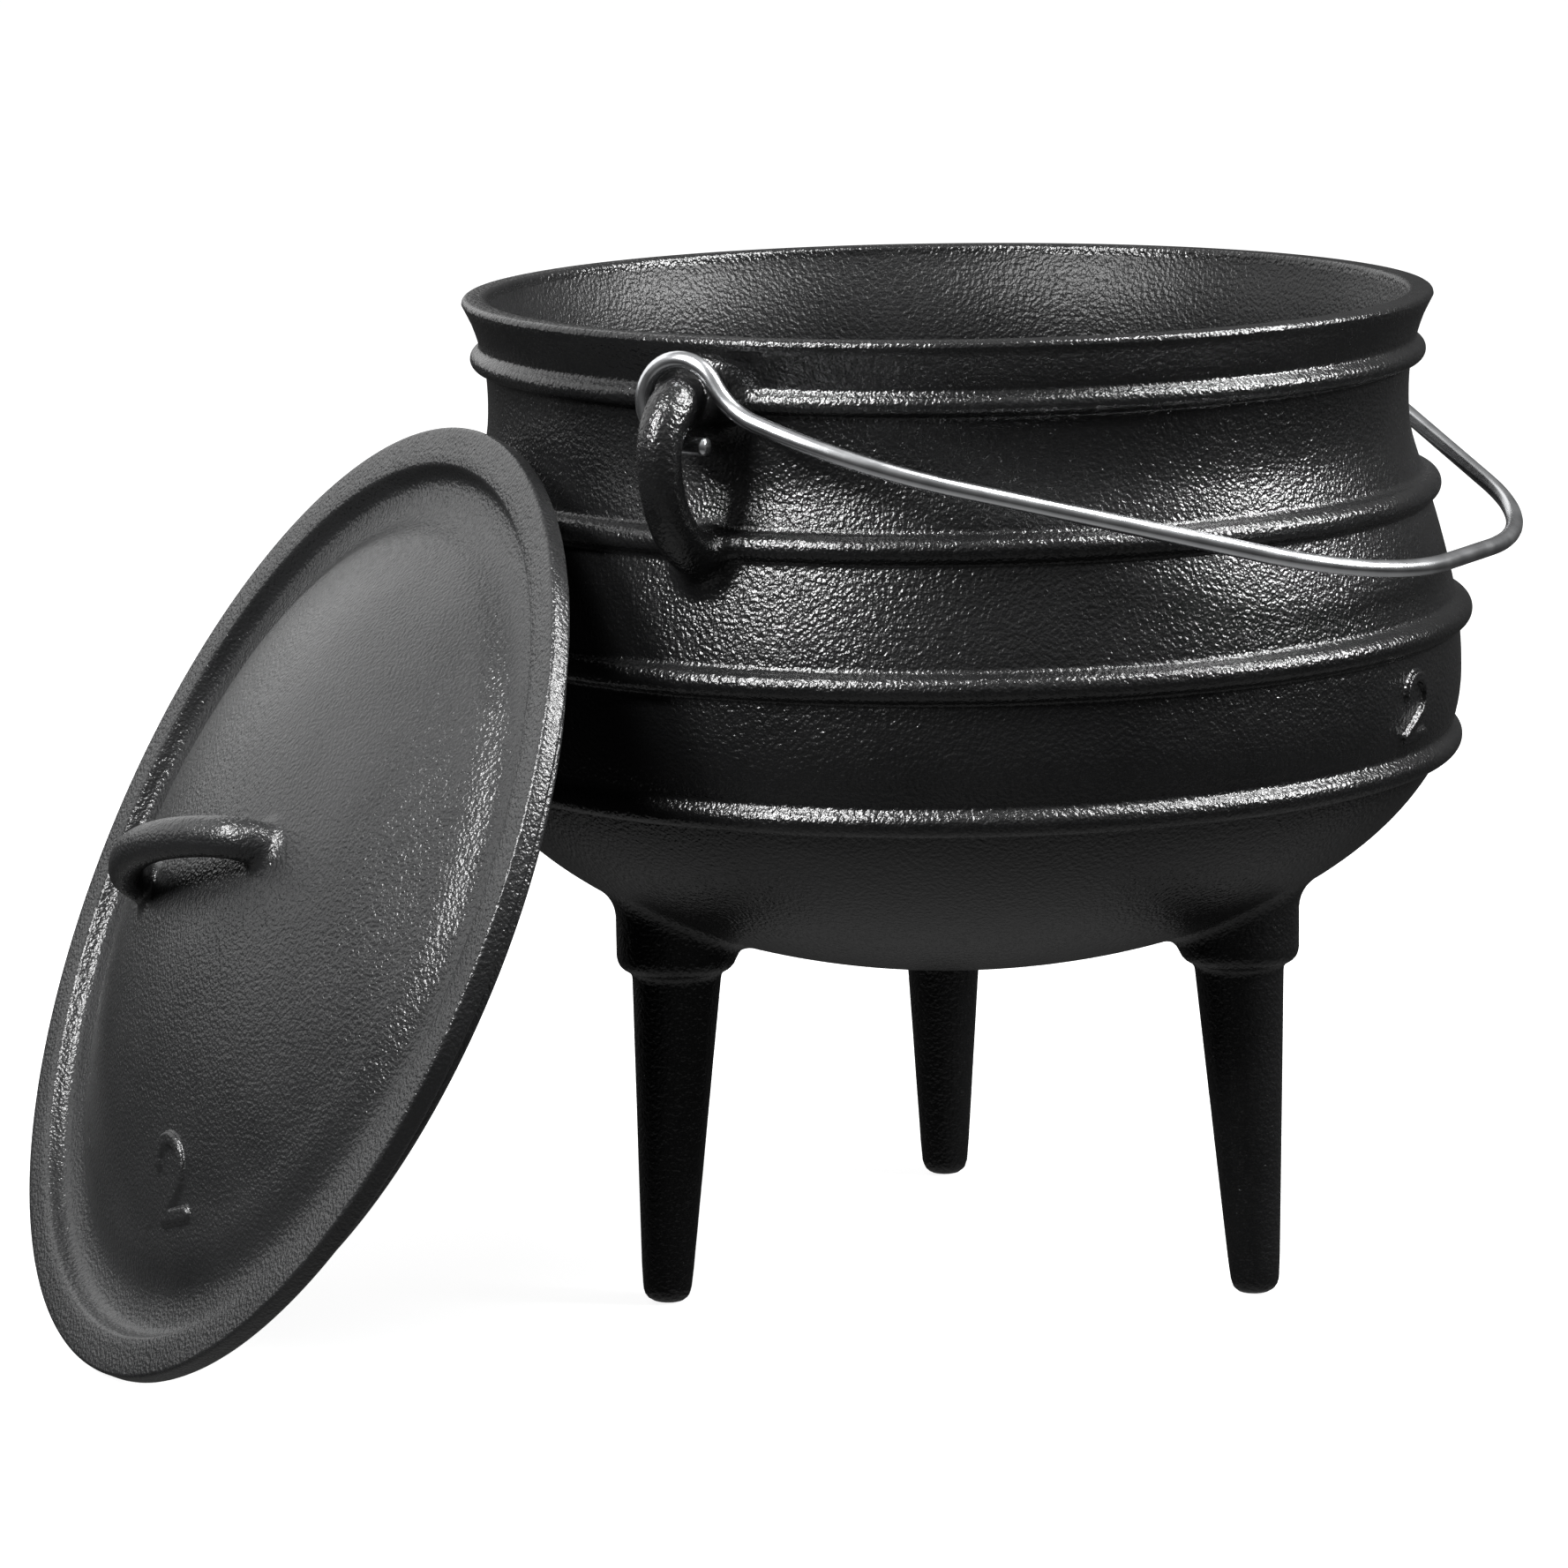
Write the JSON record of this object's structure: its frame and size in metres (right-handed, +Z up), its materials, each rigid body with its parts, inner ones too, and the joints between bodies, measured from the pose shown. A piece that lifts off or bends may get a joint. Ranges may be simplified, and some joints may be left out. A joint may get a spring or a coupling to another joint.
{
  "type": "cast iron cauldron",
  "caption": "Round-bellied cast iron cooking pot on legs with raised ribs, side ears, a hinged wire bail and a domed lid leaning against its side.",
  "frame": {"origin": "on the pot's axis, at the level of its three feet", "axes": "+Z up along the pot's axis, X along the bail's hinge line through the two ears, -Y towards the side on which the bail rests"},
  "size_m": [0.3733, 0.3499, 0.246],
  "materials": {
    "pot_iron": "black satin paint over sand-cast iron",
    "lid_iron": "black satin paint over sand-cast iron",
    "bail_wire": "bright drawn wire"
  },
  "bodies": {
    "pot": {"pot": "pot_iron", "lid": "lid_iron"},
    "bail": {"bail": "bail_wire"}
  },
  "joints": [
    {"name": "bail_hinge", "type": "hinge", "parent": "pot", "child": "bail", "pos_m": [0, 0, 0.232], "axis": [-1, 0, 0], "range_deg": [0, 200]}
  ]
}
